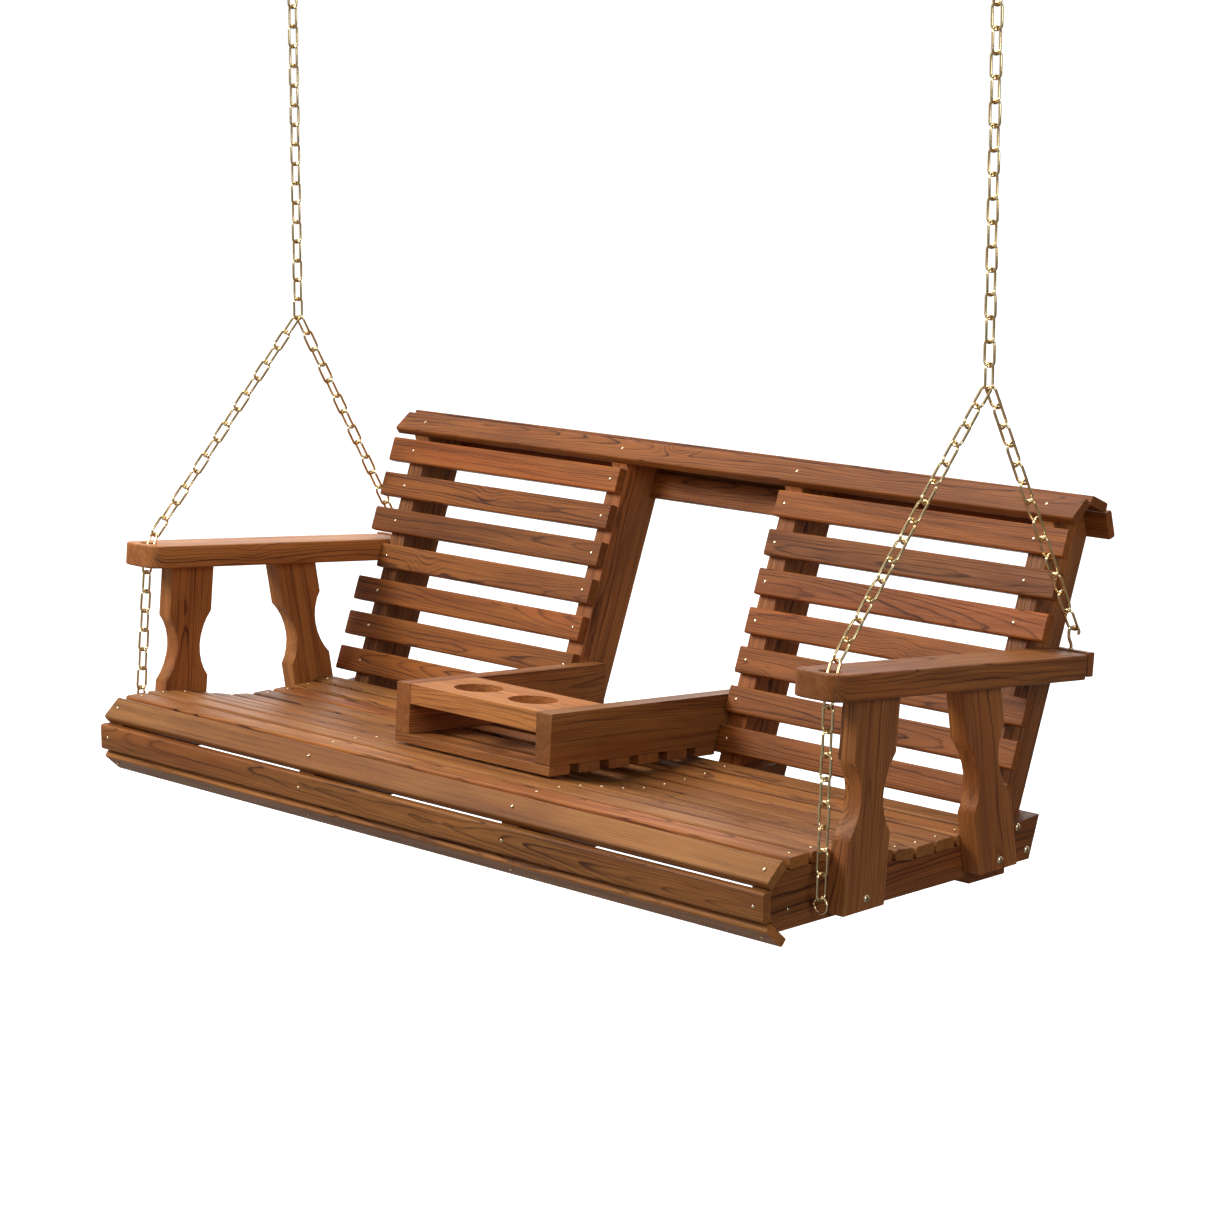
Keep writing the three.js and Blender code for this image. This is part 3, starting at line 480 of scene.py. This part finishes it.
# painted shade: the crown board is darkened for the shaded strip of its front edge above the front
# top board
dress("crown_board", "back_wood", X_AXIS, CROWN_FACE, tone=0.8)
dress("rear_top_board", "back_wood", X_AXIS, REAR_TOP_FACE)
# painted light: the console stop board is lightened like the back supports beside it
dress("console_stop_board", "back_wood", X_AXIS, BACK_FACE, tone=1.25)
dress("console_right_arm", "console_wood", CONSOLE_ALONG, X_AXIS)
# painted light and sheen: the cup holder board is lightened, standing in for light and sheen on its
# top
dress("cup_holder_board", "console_wood", X_AXIS, square_to(CONSOLE_ALONG), edge=0.8, tone=1.6)


# ------------------------------------------------------------------ mesh helpers
def finish_piece(name, bm, material, body):
    """Turns the bmesh into an object with one material that rides on a body."""
    mesh = bpy.data.meshes.new(name)
    bmesh.ops.recalc_face_normals(bm, faces=bm.faces)
    bm.to_mesh(mesh)
    bm.free()
    mesh.materials.append(material)
    for polygon in mesh.polygons:
        polygon.use_smooth = True
    obj = bpy.data.objects.new(name, mesh)
    bpy.context.scene.collection.objects.link(obj)
    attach(obj, body)
    return obj


def sweep(bm, line, radius, square, sides=10, closed=False):
    """A round wire along points that lie in one plane; square is that plane's normal."""
    rings = []
    count = len(line)
    for i, spot in enumerate(line):
        before = line[i - 1] if closed or i > 0 else spot
        after = line[(i + 1) % count] if closed or i < count - 1 else spot
        across = square.cross((after - before).normalized())
        width = radius(i / (count - 1)) if callable(radius) else radius
        ring = []
        for k in range(sides):
            turn = 2 * math.pi * k / sides
            ring.append(bm.verts.new(
                spot + (square * math.sin(turn) + across * math.cos(turn)) * width))
        rings.append(ring)
    pairs = list(zip(rings, rings[1:] + rings[:1])) if closed else list(zip(rings, rings[1:]))
    for first, second in pairs:
        for k in range(sides):
            after = (k + 1) % sides
            bm.faces.new((first[k], first[after], second[after], second[k]))
    if not closed:
        bm.faces.new(rings[0][::-1])
        bm.faces.new(rings[-1])


def arc(centre, first, second, radius, start, end, steps):
    """Points on an arc in the plane of two unit vectors."""
    points = []
    for i in range(steps + 1):
        turn = start + (end - start) * i / steps
        points.append(centre + (first * math.cos(turn) + second * math.sin(turn)) * radius)
    return points


def revolve(bm, base, axis, profile, sides):
    """A turned shape: profile is a list of (height along the axis, radius), in millimetres."""
    axis = axis.normalized()
    first = axis.orthogonal().normalized()
    second = axis.cross(first)
    rings = []
    for height, radius in profile:
        centre = base + axis * height * MM
        if radius == 0:
            rings.append([bm.verts.new(centre)])
            continue
        rings.append([
            bm.verts.new(centre + (first * math.cos(2 * math.pi * k / sides)
                                   + second * math.sin(2 * math.pi * k / sides)) * radius * MM)
            for k in range(sides)
        ])
    for lower, upper in zip(rings, rings[1:]):
        for k in range(sides):
            after = (k + 1) % sides
            corners = [lower[k % len(lower)], lower[after % len(lower)],
                       upper[after % len(upper)], upper[k % len(upper)]]
            unique = []
            for corner in corners:
                if corner not in unique:
                    unique.append(corner)
            if len(unique) > 2:
                bm.faces.new(unique)
    for ring, order in ((rings[0], -1), (rings[-1], 1)):
        if len(ring) > 2:
            bm.faces.new(ring[::order])


# ------------------------------------------------------------------ chains
def link(bm, start, end, width_axis):
    """One wire link whose inner ends bear on the two points."""
    run = (end - start).normalized()
    square = width_axis.cross(run).normalized()
    middle = (start + end) / 2
    half_length = (end - start).length / 2 + WIRE * MM / 2
    half_width = (LINK_WIDTH - WIRE) * MM / 2
    corner = LINK_CORNER * MM
    line = []
    for quarter, (side, way) in enumerate(((1, 1), (-1, 1), (-1, -1), (1, -1))):
        centre = (middle + width_axis * side * (half_width - corner)
                  + run * way * (half_length - corner))
        turn = quarter * math.pi / 2
        line += arc(centre, width_axis, run, corner, turn, turn + math.pi / 2, 5)
    sweep(bm, line, WIRE * MM / 2, square, sides=10, closed=True)


def chain_run(bm, start, end, count, across_first):
    run = (end - start).normalized()
    in_plane = run.cross(X_AXIS).normalized()
    sideways = in_plane.cross(run)
    step = (end - start) / count
    for i in range(count):
        width_axis = sideways if (i % 2 == 0) == across_first else in_plane
        link(bm, start + step * i, start + step * (i + 1), width_axis)


def inner_end(start, wire_centre):
    """Where the last link's end wire bears, when that wire is centred on the point."""
    return wire_centre - (wire_centre - start).normalized() * (WIRE * MM / 2)


def eye_screw(bm, side):
    """An eye of wire with its threaded shank in the side rail; the eye isn't quite closed."""
    x, y, z = EYE_CENTRE
    centre = bench(side * x, y, z)
    inward = Vector((-side, 0, 0))
    line = arc(centre, inward, Z_AXIS, EYE_RADIUS * MM, 2 * math.pi - EYE_GAP, EYE_GAP, 26)
    sweep(bm, line, EYE_WIRE_RADIUS * MM, Y_AXIS, sides=10)
    collar_start = EYE_RADIUS - 1.2
    shank = [(0.0, EYE_WIRE_RADIUS), (1.2, 2.6), (2.2, 2.6), (3.2, 2.0), (10.0, 2.0)]
    revolve(bm, centre + inward * collar_start * MM, inward, shank, 14)


def screw_hook(bm, side):
    """The open hook in the arm's end block, its bow turned half outwards."""
    x, y, z = HOOK_FOOT
    foot = bench(side * x, y, z)
    level = Vector((side, 1, 0)).normalized()
    neck_low, neck_high = HOOK_NECK
    line = [foot - Z_AXIS * 2 * MM, foot, foot + Z_AXIS * neck_low * MM]
    steps = 6
    for i in range(1, steps + 1):
        share = i / steps
        bend = (1 - math.cos(math.pi * share)) / 2
        rise = neck_low + (neck_high - neck_low) * share
        line.append(foot + (Z_AXIS * rise - level * HOOK_LEAN * bend) * MM)
    centre = foot + (level * (HOOK_BOW - HOOK_LEAN) + Z_AXIS * HOOK_BOW_HEIGHT) * MM
    line += arc(centre, level, Z_AXIS, HOOK_BOW * MM, math.pi, HOOK_END, 20)

    def wire_radius(share):
        past = max(share - HOOK_TIP_START, 0) / (1 - HOOK_TIP_START)
        return (HOOK_WIRE_RADIUS - HOOK_TIP_LOSS * past) * MM

    sweep(bm, line, wire_radius, level.cross(Z_AXIS), sides=10)
    collar = [(0.0, 3.4), (0.8, 3.2), (1.6, 2.4)]
    revolve(bm, foot, Z_AXIS, collar, 14)


def make_chains(side, name):
    def hang(spot):
        return bench(side * spot[0], spot[1], spot[2])

    eye_x, eye_y, eye_z = EYE_CENTRE
    eye_bearing = hang((eye_x, eye_y, eye_z + EYE_RADIUS - EYE_WIRE_RADIUS))
    bend = hang(HOLE_BEND)
    leaving = hang(HOLE_EXIT)
    front = bmesh.new()
    eye_screw(front, side)
    front_top = inner_end(leaving, hang(JUNCTION_WIRES[0]))
    chain_run(front, eye_bearing, bend, LINKS_BELOW_ARM, False)
    chain_run(front, bend, leaving, LINKS_IN_HOLE, True)
    chain_run(front, leaving, front_top, LINKS_ABOVE_ARM, False)
    rear = bmesh.new()
    screw_hook(rear, side)
    top = hang(HOOK_TOP)
    chain_run(rear, top, inner_end(top, hang(JUNCTION_WIRES[1])), LINKS_REAR, True)
    upper = bmesh.new()
    chain_run(upper, hang(UPPER_RUN[0]), hang(UPPER_RUN[1]), LINKS_UPPER, False)
    for part, bm, body in (("front", front, "seat"), ("rear", rear, "seat"),
                           ("upper", upper, "upper_chains")):
        piece = finish_piece(f"{name}_{part}_chain_links", bm, BRASS, body)
        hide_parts(f"{name}_{part}_chain")


def make_hanger(side, name):
    """Ceiling plate with three countersunk screws, its neck, and the ring for the chain."""
    bm = bmesh.new()
    plate_low = bench(side * CHAIN_X, HANGER_Y, CEILING_Z - PLATE_THICK)
    revolve(bm, plate_low, Z_AXIS, PLATE_PROFILE, 48)
    ring_centre = bench(side * CHAIN_X, HANGER_Y, RING_Z)
    revolve(bm, ring_centre + Z_AXIS * NECK_BASE * MM, Z_AXIS, NECK_PROFILE, 24)
    ring = arc(ring_centre, X_AXIS, Z_AXIS, RING_RADIUS * MM, 0, 2 * math.pi, 36)[:-1]
    sweep(bm, ring, RING_WIRE_RADIUS * MM, Y_AXIS, sides=12, closed=True)
    for k in range(3):
        turn = math.radians(90 + 120 * k)
        spot = plate_low + Vector((math.cos(turn), math.sin(turn), 0)) * SCREW_CIRCLE * MM
        revolve(bm, spot, Z_AXIS, SCREW_PROFILE, 16)
    piece = finish_piece(f"{name}_hanger_plate_and_ring", bm, BRASS, "ceiling_hangers")
    piece.modifiers.new("flat_faces", "WEIGHTED_NORMAL").keep_sharp = False
    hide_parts(f"{name}_ceiling_hanger")


make_chains(1, "right")
make_chains(-1, "left")
make_hanger(1, "right")
make_hanger(-1, "left")


# ------------------------------------------------------------------ console
CONSOLE_GAP = 0.1  # between the slats and the arm that lies on them


def console_board(name, centre, size, edge=1.2):
    """A sawn board of the console: size is (across X, along the arm, thick), in millimetres."""
    along = CONSOLE_ALONG
    up = square_to(along)
    size = [side * MM for side in size]
    bm = bmesh.new()
    bmesh.ops.create_cube(bm, size=1.0)
    for vert in bm.verts:
        x, y, z = vert.co
        vert.co = centre + X_AXIS * x * size[0] + along * y * size[1] + up * z * size[2]
    bmesh.ops.bevel(bm, geom=list(bm.edges), offset=edge * MM, segments=3, profile=0.5,
                    affect="EDGES")
    grain = X_AXIS if size[0] > size[1] else along
    normal = X_AXIS if size[0] < size[2] else up
    material = wood_material(name, "console_wood", centre, grain, normal)
    piece = finish_piece(name, bm, material, "console")
    piece.modifiers.new("flat_faces", "WEIGHTED_NORMAL").keep_sharp = False
    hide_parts("console_left_arm_and_slats")


def console_point(x, along, up):
    return bench(x, *CONSOLE_FRONT) + (CONSOLE_ALONG * along + square_to(CONSOLE_ALONG) * up) * MM


def make_console():
    width, height = CONSOLE_ARM
    slat_width, slat_thick = CONSOLE_SLAT
    arm_x = -CONSOLE_HALF + width / 2
    arm_middle = console_point(arm_x, CONSOLE_LENGTH / 2, slat_thick + height / 2)
    console_board("console_left_arm", arm_middle, (width, CONSOLE_LENGTH, height))
    slat_size = (2 * CONSOLE_HALF, slat_width, slat_thick - CONSOLE_GAP)
    for i in range(CONSOLE_SLATS):
        along = i * CONSOLE_SLAT_PITCH + slat_width / 2
        middle = console_point(0, along, (slat_thick - CONSOLE_GAP) / 2)
        console_board(f"console_slat_{i + 1}", middle, slat_size, edge=1.8)


def make_hinge_rod():
    """Threaded rod with bevelled ends; its thread is a row of ridges."""
    bm = bmesh.new()
    plain_end = 2
    tip_radius = ROD_RADIUS - ROD_BEVEL
    profile = [(0, 0), (0, tip_radius), (ROD_BEVEL, ROD_RADIUS)]
    ridges = int((ROD_LENGTH - 2 * plain_end) / THREAD_PITCH)
    for i in range(ridges):
        at = plain_end + i * THREAD_PITCH
        profile.append((at + THREAD_PITCH * 0.25, ROD_RADIUS))
        profile.append((at + THREAD_PITCH * 0.75, ROD_RADIUS - THREAD_DEPTH))
    profile += [(ROD_LENGTH - ROD_BEVEL, ROD_RADIUS), (ROD_LENGTH, tip_radius), (ROD_LENGTH, 0)]
    revolve(bm, bench(-ROD_LENGTH / 2, *HINGE), X_AXIS, profile, 14)
    piece = finish_piece("console_hinge_threaded_rod", bm, PALE_BRASS, "seat")
    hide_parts("console_hinge_rod")


make_console()
make_hinge_rod()


# ------------------------------------------------------------------ nails and bolts
def dome(bm, spot, outward, radius, height, rim=0.4):
    """A low domed head standing on the surface at the spot."""
    profile = [(-0.4, radius * 0.98), (rim, radius)]
    for share in (0.85, 0.6, 0.32, 0.0):
        rise = rim + (height - rim) * math.sqrt(1 - share ** 2)
        profile.append((rise, radius * share))
    revolve(bm, spot, outward, profile, 12)


def seat_top(y):
    """Bench height of the seat slats' top at depth y: a level nose, a hollow, a rise behind."""
    nose_end, hollow_run, hollow_depth = 20, 255, 37.5
    rise_start, rise_slope = 350, 0.07
    level = -1.5
    if y < nose_end:
        return level
    share = min((y - nose_end) / hollow_run, 1)
    hollow = hollow_depth * (1 - math.cos(math.pi * share)) / 2
    return level - hollow + max(y - rise_start, 0) * rise_slope


def nail_rows(bm, rows, columns):
    """A nail at each column's distance from the middle, on both ends, for each (spot, outward)."""
    for spot, outward in rows:
        for x in columns:
            for side in (-1, 1):
                dome(bm, bench(side * x, *spot), outward, *NAIL)


def make_nails():
    bm = bmesh.new()
    seat_rows = []
    for i in range(SEAT_SLATS):
        y = i * SEAT_SLAT_PITCH
        slope = math.atan(seat_top(y + 0.5) - seat_top(y - 0.5))
        seat_rows.append(((y, seat_top(y)), square_to(tilted(slope))))
    seat_rows.append((UPPER_FRONT_NAIL, square_to(tilted(FRONT_SLANT))))
    seat_rows.append((MIDDLE_FRONT_NAIL, -Y_AXIS))
    seat_rows.append((LOWER_FRONT_NAIL, square_to(tilted(math.pi - FRONT_SLANT))))
    nail_rows(bm, seat_rows, SEAT_NAIL_COLUMNS)
    back_rows = [(on_back(0, -BACK_SLAT_PITCH * i), BACK_FACE) for i in range(BACK_SLATS)]
    back_rows.append((TOP_BOARD_NAIL, TOP_BOARD_FACE))
    nail_rows(bm, back_rows, BACK_NAIL_COLUMNS)
    for side in (-1, 1):
        for y, z in RAIL_NAILS:
            dome(bm, bench(side * RAIL_FACE_X, y, z), X_AXIS * side, *RAIL_NAIL)
    finish_piece("nail_heads", bm, PALE_BRASS, "seat")


def make_bolts():
    """Carriage bolts through the posts and the back supports, with nuts on the far side."""
    bm = bmesh.new()
    head_radius, head_height, head_rim = 6.3, 4.6, 0.9
    for side in (-1, 1):
        for x, y, z, reach in BOLTS:
            dome(bm, bench(side * x, y, z), X_AXIS * side, head_radius, head_height, rim=head_rim)
            inner = bench(side * (x - reach), y, z)
            inward = X_AXIS * -side
            revolve(bm, inner, inward, WASHER_PROFILE, 20)
            revolve(bm, inner, inward, NUT_PROFILE, 6)
            revolve(bm, inner, inward, BOLT_END_PROFILE, 12)
    finish_piece("bolts_and_nuts", bm, PALE_BRASS, "seat")


make_nails()
make_bolts()


# ------------------------------------------------------------------ stage, light and camera
def make_floor():
    bm = bmesh.new()
    half = 30.0
    height = -1.76  # about half a metre below the seat
    corners = [bm.verts.new((x, y, height)) for x, y in
               ((-half, -half), (half, -half), (half, half), (-half, half))]
    bm.faces.new(corners)
    mesh = bpy.data.meshes.new("floor")
    bm.to_mesh(mesh)
    bm.free()
    floor = bpy.data.objects.new("floor", mesh)
    bpy.context.scene.collection.objects.link(floor)
    material = bpy.data.materials.new("pale_floor")
    material.use_nodes = True
    shader = material.node_tree.nodes["Principled BSDF"]
    shader.inputs["Base Color"].default_value = (0.8, 0.8, 0.8, 1)
    shader.inputs["Roughness"].default_value = 0.9
    shader.inputs["Specular IOR Level"].default_value = 0.0
    shader.inputs["Emission Color"].default_value = (1, 1, 1, 1)
    shader.inputs["Emission Strength"].default_value = 0.75
    mesh.materials.append(material)
    floor.visible_diffuse = False  # it stays plain white, and throws no light up at the seat
    floor.visible_glossy = False
    floor.visible_shadow = False


def make_world():
    """White to the camera; other rays see three glows and dimness elsewhere.

    One is a broad sky at the upper left, one a bright patch behind, one a faint patch below in front.
    """
    world = bpy.data.worlds.new("studio")
    bpy.context.scene.world = world
    world.use_nodes = True
    n = Nodes(world.node_tree)
    n.tree.nodes.clear()
    way = n.add("ShaderNodeTexCoord").outputs["Generated"]

    def glow(toward, low, high, dim, bright):
        facing = n.vector("DOT_PRODUCT", way, tuple(Vector(toward).normalized()))
        return n.smooth(facing, low, high, dim, bright)

    level = n.math("ADD", glow((-0.72, 0.15, 0.68), -0.3, 0.65, 0.08, 0.5),
                   n.math("ADD", glow((-0.6, 0.78, 0.15), 0.45, 0.95, 0.0, 1.3),
                          glow((0.25, -0.75, -0.6), 0.1, 0.9, 0.0, 0.16)))
    soft = n.add("ShaderNodeBackground", {"Color": (1.0, 0.985, 0.96, 1), "Strength": level})
    white = n.add("ShaderNodeBackground", {"Color": (1, 1, 1, 1), "Strength": 1.0})
    seen = n.add("ShaderNodeLightPath").outputs["Is Camera Ray"]
    both = n.add("ShaderNodeMixShader")
    n.feed(both.inputs[0], seen)
    n.feed(both.inputs[1], soft.outputs[0])
    n.feed(both.inputs[2], white.outputs[0])
    n.add("ShaderNodeOutputWorld", {"Surface": both.outputs[0]})


def area_light(name, place, aim, size, power, colour=(1, 1, 1)):
    data = bpy.data.lights.new(name, "AREA")
    data.shape = "DISK"
    data.size = size
    data.energy = power
    data.color = colour
    light = bpy.data.objects.new(name, data)
    light.location = place
    light.rotation_euler = (Vector(aim) - Vector(place)).to_track_quat("-Z", "Y").to_euler()
    bpy.context.scene.collection.objects.link(light)


# the camera's place in metres, and the direction from the swing back to it
CAMERA_PLACE = (3.5607, -3.6073, -0.0949)
AZIMUTH = math.radians(44.63)
ELEVATION = math.radians(10.57)


def make_camera():
    data = bpy.data.cameras.new("camera")
    data.lens = 93.36
    data.sensor_width = 36
    data.clip_end = 100
    camera = bpy.data.objects.new("camera", data)
    bpy.context.scene.collection.objects.link(camera)
    backward = Vector((math.sin(AZIMUTH) * math.cos(ELEVATION),
                       -math.cos(AZIMUTH) * math.cos(ELEVATION), math.sin(ELEVATION)))
    camera.location = CAMERA_PLACE
    camera.rotation_euler = (-backward).to_track_quat("-Z", "Y").to_euler()
    bpy.context.scene.camera = camera


make_floor()
make_world()
LIGHT_AIM = (0.0, -0.1, -1.0)
area_light("key", (-2.4, -3.9, 2.2), LIGHT_AIM, 2.2, 205, (1.0, 0.98, 0.95))
area_light("top", (-0.6, 0.6, 3.0), LIGHT_AIM, 2.6, 92)
area_light("fill", (4.5, -1.5, 0.6), LIGHT_AIM, 2.6, 60)
make_camera()
bpy.context.scene.view_settings.view_transform = "Standard"
